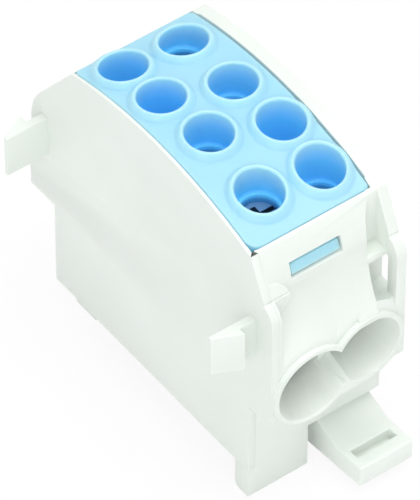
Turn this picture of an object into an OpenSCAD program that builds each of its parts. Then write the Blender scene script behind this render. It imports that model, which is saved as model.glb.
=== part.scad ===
// Rail-mounted power distribution block, one pole: two large and two small
// screw clamps in one metal block, in a moulded housing with a clip foot.
// X runs along the rail, -Y is the front, +Z is up and away from the rail.
// The origin lies in the plane of the rail seat, near the middle of the rail.

/* [Housing] */
// Width of the block along the rail
body_w = 22.2; // [22:0.1:24]
// From the middle to the front edge of the side walls
front_reach = 25.3; // [25:0.1:26]
// From the middle to the rear edge of the side walls
rear_reach = 29.3; // [28.9:0.1:31]
// Height of the arched top over the rail seat
top_h = 46.4; // [46:0.1:47]
// Radius of the arched top, seen from the side
top_r = 64; // [60:1:70]
// Thickness of the clip-on side plate
plate_t = 1.2; // [1:0.1:1.3]
// Thickness of the wall on the closed side
wall_t = 1.9; // [1.7:0.1:2.1]
// Height of the underside of the cable collars
collar_h = 13.2; // [12.9:0.1:13.5]

/* [Rail foot] */
// Width of the mounting rail
rail_w = 35; // [34.8:0.05:35.1]
// Thickness of the rail's lip
rail_t = 1; // [0.9:0.05:1.1]
// How far the feet reach below the rail seat
foot_h = 5.2; // [5:0.1:5.6]
// Travel of the rail slide
slide_travel = 3; // [2.4:0.1:3.2]
// Width of the rail slide
slide_w = 9; // [8.4:0.1:9.2]
// How far the handle of the slide stands out in front of the leg
handle_l = 8.7; // [8.2:0.1:10]

/* [Clamps] */
// Radius of the bores for the large conductors
large_bore_r = 4.1; // [3.9:0.05:4.2]
// Radius of the bores for the small conductors
small_bore_r = 3.45; // [3.35:0.05:3.55]
// Height of the large conductors' axis over the rail seat
large_axis_h = 18; // [17.8:0.1:18.2]
// Height of the small conductors' axis over the rail seat
small_axis_h = 19.2; // [19:0.1:19.4]
// Radius of the clamping screws
screw_r = 3; // [2.95:0.05:3.1]
// Height of the top of the metal block over the rail seat
block_top_h = 30.6; // [30:0.1:31]

/* [Screw cover] */
// Radius of the screwdriver holes
hole_r = 3.35; // [3.3:0.05:3.45]
// Radius of the collar around each hole
rim_r = 4.25; // [4.15:0.05:4.3]
// Height of the collars over the deck
rim_h = 0.9; // [0.6:0.1:1.1]
// Thickness of the deck
deck_t = 1.6; // [1.4:0.1:1.8]

/* [Hidden] */
$fn = 64;
eps = 0.01;
big = 100;
// How far a cut runs past the face that it opens
over = 1;

// Clearances: seam between mouldings, guide of the slide, screw in its thread
seam = 0.15;
slip = 0.2;
thread_gap = 0.05;

plastic = [0.93, 0.95, 0.93];
blue = [0.72, 0.90, 1.0];
tinned = [0.78, 0.79, 0.80];
steel = [0.66, 0.67, 0.69];

// Places across the width
left_x = -body_w / 2;
right_x = body_w / 2;
inner_left_x = left_x + plate_t;
inner_right_x = right_x - wall_t;

// Clamp pattern: the rear half is the front half turned half round
pattern_x = -0.5;
large_x = 4.05;
small_x = 5.1;
large_outer_y = 13.75;
large_inner_y = 2.75;
small_outer_y = 14.8;
small_inner_y = 6.35;

// Metal block
block_gap = 0.2;
block_l = 38;
block_bottom_h = 12.3;
block_x0 = inner_left_x + block_gap;
block_x1 = inner_right_x - block_gap;
large_bore_end = 0.6;
small_bore_end = 3;
hole_floor = 0.6;
tip_gap = 0.3;

// Cable entries
collar_out = 0.7;
rear_collar_out = 0;
collar_wall = 0.7;
large_funnel_r = 5.8;
small_funnel_r = 5.2;
funnel_throat = 0.3;
funnel_land = 1.4;
saddle_x = 0.1;
saddle_h = 18;
saddle_depth = 4.8;
saddle_mouth_r = 3.3;
saddle_root_r = 1.9;

// Faces between the edges of the side walls
recess_w = 1.6;
front_face_depth = 2.55;
rear_face_depth = 1.3;
face_front = front_reach - front_face_depth;
face_rear = rear_reach - rear_face_depth;
bend_r = 10;
rim_land = 0.2;
blend_front_h = 35.4;
blend_rear_h = 32;
back_recess_h = 5;
lug_h = 35.2;
lug_r = 2.6;
lug_out = 0.8;
scoop_x = 8.9;
scoop_inset = 0.45;
scoop_y = -face_front - scoop_inset;
scoop_r = 2.6;
scoop_floor_h = 33;

// Outline of the body in side view
arc_y = 1.6;
crest_front_y = -20.55;
flank_front_a = 23.9;
shoulder_r = 3.3;
shoulder_h = 32.6;
flank_rear_a = 38;
flank_rear_l = 14;
back_r = 10.5;
back_h = 28;
back_draft = 0.55;
heel_h = 14.8;
heel_y = 23.8;
corner_r = 1.2;
spare = 3;

// Clamping screws
screw_chamfer = 0.5;
slot_l = 4.8;
cross_l = 3.3;
slot_w = 0.8;
slot_depth = 1.6;

// Screw cover
deck_front = 19.95;
deck_rear = 19.2;
deck_left_x = -10.5;
deck_right_x = 8.85;
ring_r = 2.75;
ring_t = 0.8;
large_ring_h = 41.6;
small_ring_h = 39.1;
under_ring = 0.3;
tube_gap = 0.3;
tongue_x0 = -5.7;
tongue_x1 = 2.2;
tongue_t = 0.9;
tongue_room = 1.5;
tongue_foot_h = 37.1;
lug_depth = 0.5;
latch_h0 = 37;
latch_h1 = 38.9;
latch_play = 0.25;
deck_corner_r = 1.3;
plate_notch_h = 6;
ledge = 1.4;

// Rail, with its middle a little to the rear of the arc's middle
rail_mid_y = 0.5;
rail_play = 0.4;
rail_front_y = rail_mid_y - rail_w / 2;
rail_rear_y = rail_mid_y + rail_w / 2;
lip_gap = 0.2;
nose_l = 1.4;
nose_t = 1.8;

// Front leg
leg_t = 2.9;
leg_back_y = rail_front_y - rail_play;
leg_front_y = leg_back_y - leg_t;
leg_x1 = -1;
bay_h = 2.5;
leg_r = 1;

// Rear hook
hook_x0 = -8.6;
hook_x1 = 8.2;
hook_chamfer = 1.4;

// Rail slide
slide_x0 = 1.3;
slide_lift = 0.1;
tail_h0 = 0.95;
tail_h1 = 2.35;
tail_inset = 1;
tail_end_y = -4.6;
slide_nose_l = 2;
handle_h0 = 3.72;
handle_h1 = 0.16;
ramp_y = -19.5;
ramp_h = 1;
ramp_foot_y = -23.5;
ramp_foot_h = 0.6;
driver_slot_y = -26;
driver_slot_w = 1.6;
driver_slot_l = 6.7;
driver_slot_depth = 2.4;
root_l = 1;
root_top_l = 0.8;
root_drop = 0.4;

// Spring of the slide, in a window of its tail
spring_r = 1.05;
spring_wire_r = 0.2;
spring_turns = 7;
spring_h = 2.3;
window_w = 3.2;
window_y0 = -6;
post_gap = 0.4;
spring_end_gap = 0.05;
post_y = -15;
post_t = 1;
post_w = 2.4;
post_rise = 2;

// Coupling tabs on the plate and their windows in the closed side
tab_l = 6.8;
tab_t = 1.2;
tab_front_inset = 4.7;
tab_rear_inset = 4.4;
tab_front_y = -front_reach + tab_front_inset;
tab_front_h0 = 24.8;
tab_front_h1 = 31.6;
tab_rear_y = rear_reach - tab_rear_inset;
tab_rear_h0 = 23.9;
tab_rear_h1 = 30.9;
barb_l = 4.1;
barb_t = 1.2;
tip_t = 0.5;
window_play = 0.4;
pocket_x0 = 6.5;
pocket_floor_h = 25.3;
pocket_inset = 0.4;

// Pegs of the side plate
peg_r = 1.3;
peg_l = 3.2;
peg_gap = 0.08;
peg_places = [[-13, 6], [18, 6], [-21.6, 31], [22.6, 32]];

// Height of the arched top at a distance y from the middle
function arc_h(y, lift = 0) = top_h - top_r + sqrt(pow(top_r + lift, 2) - pow(y - arc_y, 2));

// Distance y of the sloping front flank at a height h
function flank_y(h) = crest_front_y - (arc_h(crest_front_y) - h) * tan(flank_front_a);

// Extrudes an outline, drawn as (Y, Z), from x0 to x1
module across(x0, x1) {
    translate([x0, 0, 0])
        rotate([90, 0, 90])
            linear_extrude(x1 - x0) children();
}

// A box between two corners
module box(a, b) {
    translate(a) cube(b - a);
}

// The disc whose rim is the arched top
module arch(lift = 0) {
    translate([arc_y, top_h - top_r]) circle(r = top_r + lift, $fn = 240);
}

// The block as seen from the side, without the feet
module side_outline() {
    crest_h = arc_h(crest_front_y);
    shoulder_y = -front_reach + shoulder_r;
    back_y = rear_reach - back_draft - back_r;
    intersection() {
        arch();
        union() {
            polygon([
                [leg_front_y, 0],
                [leg_front_y, collar_h],
                [-front_reach + corner_r, collar_h],
                [-front_reach, collar_h + corner_r],
                [-front_reach, shoulder_h],
                [shoulder_y, shoulder_h],
                [flank_y(shoulder_h + shoulder_r), shoulder_h + shoulder_r],
                [flank_y(crest_h + spare), crest_h + spare],
                [0, crest_h + 2 * spare],
                [back_y + back_r * cos(flank_rear_a) - flank_rear_l * sin(flank_rear_a),
                 back_h + back_r * sin(flank_rear_a) + flank_rear_l * cos(flank_rear_a)],
                [back_y + back_r * cos(flank_rear_a), back_h + back_r * sin(flank_rear_a)],
                [back_y, back_h],
                [back_y + back_r, back_h],
                [rear_reach, heel_h],
                [heel_y, heel_h],
                [heel_y, 0]
            ]);
            translate([shoulder_y, shoulder_h]) circle(r = shoulder_r);
            translate([-front_reach + corner_r, collar_h + corner_r]) circle(r = corner_r);
            translate([back_y, back_h]) circle(r = back_r, $fn = 120);
        }
    }
}

// Fixed leg in front of the rail
module leg() {
    across(left_x, leg_x1) {
        difference() {
            translate([leg_front_y, -foot_h]) square([leg_t, foot_h]);
            translate([leg_back_y - leg_r, -foot_h - eps]) square([leg_r + eps, leg_r + eps]);
        }
        translate([leg_back_y - leg_r, -foot_h + leg_r]) circle(r = leg_r, $fn = 32);
    }
    box([inner_left_x, leg_front_y, -leg_r], [leg_x1, leg_back_y, bay_h]);
}

// Hook behind the rail
module rear_hook() {
    across(hook_x0, hook_x1) {
        polygon([
            [heel_y, eps],
            [heel_y, -foot_h + hook_chamfer],
            [heel_y - hook_chamfer, -foot_h],
            [rail_rear_y, -foot_h],
            [rail_rear_y - nose_l, -rail_t - lip_gap - nose_t],
            [rail_rear_y - nose_l, -rail_t - lip_gap],
            [rail_rear_y + rail_play, -rail_t - lip_gap],
            [rail_rear_y + rail_play, eps]
        ]);
    }
}

// A cylinder along Y from y0 to y1, with radii r0 and r1
module rod_y(x, h, y0, y1, r0, r1) {
    translate([x, y0, h]) rotate([-90, 0, 0]) cylinder(h = y1 - y0, r1 = r0, r2 = r1);
}

// Turns a front thing half round, so that it stands at the rear
module turned() {
    translate([2 * pattern_x, 0, 0]) rotate([0, 0, 180]) children();
}

module both_ends() {
    children();
    turned() children();
}

large_bore_x = pattern_x - large_x;
small_bore_x = pattern_x + small_x;
block_y = block_l / 2;
reach_front = front_reach + collar_out;
reach_rear = rear_reach + rear_collar_out;

// The two collars of one end, as seen from the front
module collar_outline() {
    intersection() {
        union() {
            translate([large_bore_x, large_axis_h]) circle(r = large_funnel_r + collar_wall);
            translate([small_bore_x, small_axis_h]) circle(r = small_funnel_r + collar_wall);
            translate([large_bore_x, collar_h])
                square([small_bore_x - large_bore_x, large_axis_h - collar_h]);
        }
        translate([left_x, collar_h]) square([body_w, big]);
    }
}

// Outer form of the collars of one end, out to a distance from the middle
module collars(reach) {
    translate([0, -block_y, 0])
        rotate([90, 0, 0])
            linear_extrude(reach - block_y) collar_outline();
}

// Tapered mouth and throat of one cable entry
module funnel(x, h, reach, mouth_r, throat_r) {
    mouth_l = reach_front - block_y - block_gap - funnel_land;
    rod_y(x, h, -reach - eps, -reach + mouth_l, mouth_r, throat_r);
    rod_y(x, h, -reach + mouth_l - eps, -block_y, throat_r, throat_r);
}

// Both cable entries of one end
module funnels(reach) {
    funnel(large_bore_x, large_axis_h, reach, large_funnel_r, large_bore_r + funnel_throat);
    funnel(small_bore_x, small_axis_h, reach, small_funnel_r, small_bore_r + funnel_throat);
    // Saddle between the two mouths
    rod_y(saddle_x, saddle_h, -reach - eps, -reach + saddle_depth, saddle_mouth_r, saddle_root_r);
}

// Flare around one cable entry, from its collar back into the face with a hollow curve
module flare(x, h, collar_r, reach, face, top_h) {
    width = top_h - h - collar_r;
    depth = reach - rim_land - face;
    curve_r = (width * width + depth * depth) / (2 * depth);
    translate([x, -face, h])
        rotate([90, 0, 0])
            rotate_extrude() difference() {
                square([collar_r + width, depth]);
                translate([collar_r + width, curve_r]) circle(r = curve_r, $fn = 180);
            }
}

// Both flares of one end
module flares(reach, face, top_h) {
    flare(large_bore_x, large_axis_h, large_funnel_r + collar_wall, reach, face, top_h);
    flare(small_bore_x, small_axis_h, small_funnel_r + collar_wall, reach, face, top_h);
}

// Side view of the front face: the flank bends softly down into an upright face
module face_profile() {
    a = flank_front_a;
    bend_y = bend_r - face_front;
    bend_h = arc_h(crest_front_y) + ((bend_y - crest_front_y) * cos(a) - bend_r) / sin(a);
    touch_y = bend_y - bend_r * cos(a);
    touch_h = bend_h + bend_r * sin(a);
    polygon([
        [-face_front, 0],
        [-face_front, bend_h],
        [bend_y, bend_h],
        [touch_y, touch_h],
        [touch_y + big * sin(a), touch_h + big * cos(a)],
        [big, 0]
    ]);
    translate([bend_y, bend_h]) circle(r = bend_r, $fn = 120);
}

// Space in front of the face at the front, between the edges of the side walls
module face_recess() {
    difference() {
        across(left_x + recess_w, right_x - recess_w)
            difference() {
                translate([-big, large_axis_h]) square([big + bend_r - face_front, big]);
                face_profile();
            }
        flares(reach_front, face_front, blend_front_h);
        collars(big);
        rod_y(left_x + recess_w, lug_h, -face_front - lug_out, 0, lug_r, lug_r);
    }
    // Scoop beside the right wall, over the pocket
    intersection() {
        translate([scoop_x, scoop_y, scoop_floor_h]) cylinder(h = big, r = scoop_r);
        box([0, -big, 0], [right_x - recess_w, 0, big]);
    }
}

// The same at the rear, where the face is upright
module rear_recess() {
    difference() {
        box([left_x + recess_w, face_rear, large_axis_h], [right_x - recess_w, big, back_h + back_recess_h]);
        turned() {
            flares(reach_rear, face_rear, blend_rear_h);
            collars(big);
        }
    }
}

// Window in the closed side that takes a tab of the next block
module tab_windows() {
    box([right_x - tab_l - window_play, tab_front_y - tab_t - barb_t - window_play, tab_front_h0 - window_play],
        [right_x + eps, tab_front_y + window_play, tab_front_h1 + window_play]);
    box([right_x - tab_l - window_play, tab_rear_y - window_play, tab_rear_h0 - window_play],
        [right_x + eps, tab_rear_y + tab_t + barb_t + window_play, tab_rear_h1 + window_play]);
    // Opening of the front pocket toward the front
    box([pocket_x0, -front_reach + pocket_inset, pocket_floor_h],
        [right_x - recess_w, tab_front_y, tab_front_h1 + window_play]);
}

// Outline of the deck as seen from above
module deck_outline(extra = 0) {
    x0 = deck_left_x - extra;
    x1 = deck_right_x + extra;
    y0 = -deck_front - extra;
    y1 = deck_rear + extra;
    r = deck_corner_r;
    translate([x0, y0 + r]) square([x1 - x0, y1 - y0 - 2 * r]);
    translate([x0 + r, y0]) square([x1 - x0 - 2 * r, y1 - y0]);
    for (x = [x0 + r, x1 - r], y = [y0 + r, y1 - r]) {
        translate([x, y]) circle(r = r, $fn = 32);
    }
    both_rows() circle(r = rim_r + extra);
}

// Puts a thing at each of the eight screws
module both_rows() {
    large_places() children();
    small_places() children();
}

module large_places() {
    both_ends() {
        for (y = [large_outer_y, large_inner_y]) {
            translate([large_bore_x, -y, 0]) children();
        }
    }
}

module small_places() {
    both_ends() {
        for (y = [small_outer_y, small_inner_y]) {
            translate([small_bore_x, -y, 0]) children();
        }
    }
}

// Room for the metal block, the tubes and the deck
module inner_room() {
    box([left_x - over, -block_y - block_gap, block_bottom_h - block_gap],
        [inner_right_x, block_y + block_gap, block_top_h + over]);
    box([left_x - over, -deck_front + ledge, block_top_h],
        [inner_right_x, deck_rear - ledge, big]);
    translate([0, 0, block_top_h]) linear_extrude(big) both_rows() circle(r = rim_r + seam);
    // Pocket of the deck
    difference() {
        translate([0, 0, block_top_h]) linear_extrude(big) deck_outline(seam);
        across(-big, big) arch(-deck_t - seam);
    }
    // Passages of the latch tongues, up to the underside of the deck
    intersection() {
        for (y = [-deck_front - latch_play, deck_rear + latch_play - tongue_room]) {
            box([tongue_x0 - latch_play, y, tongue_foot_h - latch_play],
                [tongue_x1 + latch_play, y + tongue_room, big]);
        }
        across(-big, big) arch(-deck_t);
    }
    // Latch slots through the front and rear faces
    box([tongue_x0 - latch_play, -front_reach, latch_h0],
        [tongue_x1 + latch_play, -deck_front, latch_h1]);
    box([tongue_x0 - latch_play, deck_rear, latch_h0],
        [tongue_x1 + latch_play, rear_reach, latch_h1]);
}

// Guide of the rail slide and the pocket of its spring
module slide_guide() {
    x1 = slide_x0 + slide_w;
    mid = (slide_x0 + x1) / 2;
    box([leg_x1, -front_reach, -foot_h - over], [right_x + eps, leg_back_y, bay_h]);
    box([slide_x0 + tail_inset - slip, -front_reach, tail_h0 - slip],
        [x1 - tail_inset + slip, tail_end_y + slip, tail_h1 + slip]);
    difference() {
        box([mid - window_w / 2, post_y - post_t, tail_h0 - slip],
            [mid + window_w / 2, window_y0 + slip, spring_h + spring_r + spring_wire_r + slip]);
        box([mid - post_w / 2, post_y - post_t - eps, tail_h0],
            [mid + post_w / 2, post_y, big]);
    }
}

module spring_post() {
    mid = slide_x0 + slide_w / 2;
    box([mid - post_w / 2, post_y - post_t, tail_h0],
        [mid + post_w / 2, post_y, tail_h1 + post_rise]);
}

module housing() {
    color(plastic) {
        difference() {
            union() {
                across(inner_left_x, right_x) side_outline();
                intersection() {
                    all_collars();
                    box([inner_left_x, -big, 0], [right_x, big, big]);
                }
                rear_hook();
            }
            inner_room();
            all_funnels();
            face_recess();
            rear_recess();
            tab_windows();
            slide_guide();
            pegs(peg_gap);
        }
        leg();
        spring_post();
    }
}

module all_collars() {
    collars(reach_front);
    turned() collars(reach_rear);
}

module all_funnels() {
    funnels(reach_front);
    turned() funnels(reach_rear);
}

// Round pegs on the inside of the side plate
module pegs(extra = 0) {
    for (p = peg_places) {
        translate([inner_left_x - eps, p[0], p[1]])
            rotate([0, 90, 0]) cylinder(h = peg_l + extra, r = peg_r + extra, $fn = 32);
    }
}

// A tab seen from above: flat on one side, barbed on the other
module tab_outline() {
    polygon([
        [0, 0],
        [-tab_l, 0],
        [-tab_l, tip_t],
        [-tab_l + barb_l, tab_t + barb_t],
        [-tab_l + barb_l, tab_t],
        [0, tab_t]
    ]);
}

module tabs() {
    translate([left_x + eps, tab_front_y, tab_front_h0])
        mirror([0, 1, 0]) linear_extrude(tab_front_h1 - tab_front_h0) tab_outline();
    translate([left_x + eps, tab_rear_y, tab_rear_h0])
        linear_extrude(tab_rear_h1 - tab_rear_h0) tab_outline();
}

module side_plate() {
    color(plastic) {
        difference() {
            union() {
                across(left_x, inner_left_x - eps) side_outline();
                intersection() {
                    all_collars();
                    box([left_x, -big, 0], [inner_left_x - eps, big, big]);
                }
            }
            all_funnels();
            translate([0, 0, block_top_h + plate_notch_h])
                linear_extrude(big) deck_outline(seam);
        }
        pegs();
        tabs();
    }
}

// Ring inside a tube, under which a screw head stops
module tube_hole(ring_h) {
    cylinder(h = ring_h - ring_t, r = hole_r);
    cylinder(h = big, r = ring_r);
    translate([0, 0, ring_h]) cylinder(h = big, r = hole_r);
}

module screw_cover() {
    color(blue) {
        difference() {
            union() {
                intersection() {
                    linear_extrude(big) deck_outline();
                    difference() {
                        across(-big, big) arch();
                        across(-big, big) arch(-deck_t);
                    }
                }
                intersection() {
                    translate([0, 0, block_top_h + tube_gap]) linear_extrude(big) both_rows() circle(r = rim_r);
                    across(-big, big) arch(rim_h);
                }
                tongues();
            }
            large_places() tube_hole(large_ring_h);
            small_places() tube_hole(small_ring_h);
        }
    }
}

// Latch tongues at the front and rear of the cover
module tongues() {
    for (y = [-deck_front, deck_rear - tongue_t]) {
        box([tongue_x0, y, tongue_foot_h],
            [tongue_x1, y + tongue_t, arc_h(-deck_front) - deck_t / 2]);
    }
    lug_h0 = latch_h0 + latch_play;
    lug_h1 = latch_h1 - latch_play;
    across(tongue_x0, tongue_x1) {
        polygon([
            [-deck_front + eps, lug_h0],
            [flank_y(lug_h0) + lug_depth, lug_h0],
            [flank_y(lug_h1) + lug_depth, lug_h1],
            [-deck_front + eps, lug_h1]
        ]);
        polygon([
            [deck_rear - eps, lug_h0],
            [deck_rear + tongue_t + lug_depth, lug_h0],
            [deck_rear + tongue_t, lug_h1],
            [deck_rear - eps, lug_h1]
        ]);
    }
}

module conductor_block() {
    color(tinned) {
        difference() {
            box([block_x0, -block_y, block_bottom_h], [block_x1, block_y, block_top_h]);
            both_ends() {
                rod_y(large_bore_x, large_axis_h, -block_y - eps, -large_bore_end, large_bore_r, large_bore_r);
                rod_y(small_bore_x, small_axis_h, -block_y - eps, -small_bore_end, small_bore_r, small_bore_r);
            }
            large_places() translate([0, 0, large_axis_h - large_bore_r + hole_floor])
                cylinder(h = big, r = screw_r + thread_gap);
            small_places() translate([0, 0, small_axis_h - small_bore_r + hole_floor])
                cylinder(h = big, r = screw_r + thread_gap);
        }
    }
}

// Headless clamping screw with a cross and slot drive
module clamp_screw(tip_h, top_h) {
    color(steel) {
        difference() {
            translate([0, 0, tip_h]) union() {
                cylinder(h = screw_chamfer, r1 = screw_r - screw_chamfer, r2 = screw_r);
                translate([0, 0, screw_chamfer])
                    cylinder(h = top_h - tip_h - screw_chamfer, r = screw_r);
            }
            box([-slot_l / 2, -slot_w / 2, top_h - slot_depth], [slot_l / 2, slot_w / 2, top_h + over]);
            box([-slot_w / 2, -cross_l / 2, top_h - slot_depth], [slot_w / 2, cross_l / 2, top_h + over]);
        }
    }
}

large_tip_h = large_axis_h + large_bore_r + tip_gap;
small_tip_h = small_axis_h + small_bore_r + tip_gap;
large_screw_top = large_ring_h - ring_t - under_ring;
small_screw_top = small_ring_h - ring_t - under_ring;

module screw_large_front_outer() {
    translate([large_bore_x, -large_outer_y, 0]) clamp_screw(large_tip_h, large_screw_top);
}

module screw_large_front_inner() {
    translate([large_bore_x, -large_inner_y, 0]) clamp_screw(large_tip_h, large_screw_top);
}

module screw_small_front_outer() {
    translate([small_bore_x, -small_outer_y, 0]) clamp_screw(small_tip_h, small_screw_top);
}

module screw_small_front_inner() {
    translate([small_bore_x, -small_inner_y, 0]) clamp_screw(small_tip_h, small_screw_top);
}

module screw_large_rear_outer() {
    translate([2 * pattern_x - large_bore_x, large_outer_y, 0]) clamp_screw(large_tip_h, large_screw_top);
}

module screw_large_rear_inner() {
    translate([2 * pattern_x - large_bore_x, large_inner_y, 0]) clamp_screw(large_tip_h, large_screw_top);
}

module screw_small_rear_outer() {
    translate([2 * pattern_x - small_bore_x, small_outer_y, 0]) clamp_screw(small_tip_h, small_screw_top);
}

module screw_small_rear_inner() {
    translate([2 * pattern_x - small_bore_x, small_inner_y, 0]) clamp_screw(small_tip_h, small_screw_top);
}

module rail_slide() {
    x1 = slide_x0 + slide_w;
    mid = (slide_x0 + x1) / 2;
    front_y = leg_front_y - handle_l;
    color(plastic) {
        difference() {
            union() {
                across(slide_x0, x1) polygon([
                    [leg_back_y - slip, tail_h1],
                    [leg_back_y - slip, -rail_t - lip_gap],
                    [leg_back_y + slide_nose_l, -rail_t - lip_gap],
                    [leg_back_y + slide_nose_l, -rail_t - lip_gap - nose_t],
                    [leg_back_y, -foot_h + slide_lift],
                    [front_y, -handle_h0],
                    [front_y, -handle_h1],
                    [ramp_foot_y, -ramp_foot_h],
                    [ramp_y, ramp_h],
                    [leg_back_y - root_l, tail_h1 - root_drop],
                    [leg_back_y - root_top_l, tail_h1]
                ]);
                box([slide_x0 + tail_inset, leg_back_y - slip - eps, tail_h0],
                    [x1 - tail_inset, tail_end_y, tail_h1]);
            }
            box([mid - driver_slot_l / 2, driver_slot_y - driver_slot_w / 2, -driver_slot_depth],
                [mid + driver_slot_l / 2, driver_slot_y + driver_slot_w / 2, over]);
            box([mid - window_w / 2, post_y - post_t - post_gap, -post_gap],
                [mid + window_w / 2, window_y0, tail_h1 + over]);
        }
    }
}

// Points of a closed tube along a helix, and its faces
module helix_tube(coil_r, wire_r, turns, pitch_l, steps = 16, sides = 8) {
    n = turns * steps;
    points = [for (i = [0:n], j = [0:sides - 1])
        let (a = 360 * i / steps, b = 360 * j / sides, r = coil_r + wire_r * cos(b))
        [r * cos(a), r * sin(a), pitch_l * i / steps + wire_r * sin(b)]];
    walls = [for (i = [0:n - 1], j = [0:sides - 1])
        let (k = (j + 1) % sides)
        [i * sides + j, i * sides + k, (i + 1) * sides + k, (i + 1) * sides + j]];
    start = [[for (j = [sides - 1:-1:0]) j]];
    stop = [[for (j = [0:sides - 1]) n * sides + j]];
    polyhedron(points, concat(walls, start, stop), convexity = 6);
}

module slide_spring() {
    mid = slide_x0 + slide_w / 2;
    length = window_y0 - post_y - 2 * (spring_wire_r + spring_end_gap);
    color(steel)
        translate([mid, post_y + spring_wire_r + spring_end_gap, spring_h])
            rotate([-90, 0, 0])
                helix_tube(spring_r, spring_wire_r, spring_turns, length / spring_turns);
}

housing();
side_plate();
screw_cover();
conductor_block();
screw_large_front_outer();
screw_large_front_inner();
screw_large_rear_inner();
screw_large_rear_outer();
screw_small_front_outer();
screw_small_front_inner();
screw_small_rear_inner();
screw_small_rear_outer();
rail_slide();
slide_spring();
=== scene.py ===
"""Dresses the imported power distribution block.

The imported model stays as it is. Each sub-assembly below builds the surfaces
that show, with soft moulded edges, and puts them on the body that carries them.
"""

import logging
import math
from dataclasses import dataclass, field
from enum import Enum

import bmesh
import bpy
import numpy as np
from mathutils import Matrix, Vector


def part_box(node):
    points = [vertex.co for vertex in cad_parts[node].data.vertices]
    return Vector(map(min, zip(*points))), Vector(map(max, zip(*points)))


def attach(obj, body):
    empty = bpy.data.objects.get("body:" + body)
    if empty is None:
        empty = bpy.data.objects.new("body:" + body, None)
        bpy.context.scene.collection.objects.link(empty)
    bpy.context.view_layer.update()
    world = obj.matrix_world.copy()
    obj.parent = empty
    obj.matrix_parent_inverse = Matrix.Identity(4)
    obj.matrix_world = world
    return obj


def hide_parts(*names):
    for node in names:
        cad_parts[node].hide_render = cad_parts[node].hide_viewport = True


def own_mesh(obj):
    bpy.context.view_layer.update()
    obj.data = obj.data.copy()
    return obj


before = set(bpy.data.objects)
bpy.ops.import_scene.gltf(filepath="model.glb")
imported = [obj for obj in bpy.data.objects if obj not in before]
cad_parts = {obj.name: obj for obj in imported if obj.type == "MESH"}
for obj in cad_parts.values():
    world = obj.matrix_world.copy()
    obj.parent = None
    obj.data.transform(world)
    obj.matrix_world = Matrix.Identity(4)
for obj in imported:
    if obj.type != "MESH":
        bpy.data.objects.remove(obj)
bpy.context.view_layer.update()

MM = 0.001
MERGE_REACH = 2e-6
SHARP_DEG = 38.0
BEVEL_DEG = 32.0
FLAT_DEG = 1.0
TOUCH = 1e-6

Triple = tuple[float, float, float]
Box = tuple[Triple, Triple]

log = logging.getLogger("distribution_block")


class Body(Enum):
    """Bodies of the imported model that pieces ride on."""

    BASE = "base"
    SLIDE = "slide"


class Size(Enum):
    """The two sizes of clamp in the block."""

    LARGE = "large"
    SMALL = "small"


# ---------------------------------------------------------------- finishes


def add_node(tree: bpy.types.NodeTree, kind: str, **values: object) -> bpy.types.Node:
    """Adds a shader node and sets its plain attributes.

    Args:
        tree: node tree that takes the node.
        kind: Blender's name of the node type.
        values: attributes of the node to set.

    Returns:
        The new node.
    """
    node = tree.nodes.new(kind)
    for name, value in values.items():
        setattr(node, name, value)
    return node


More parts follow.
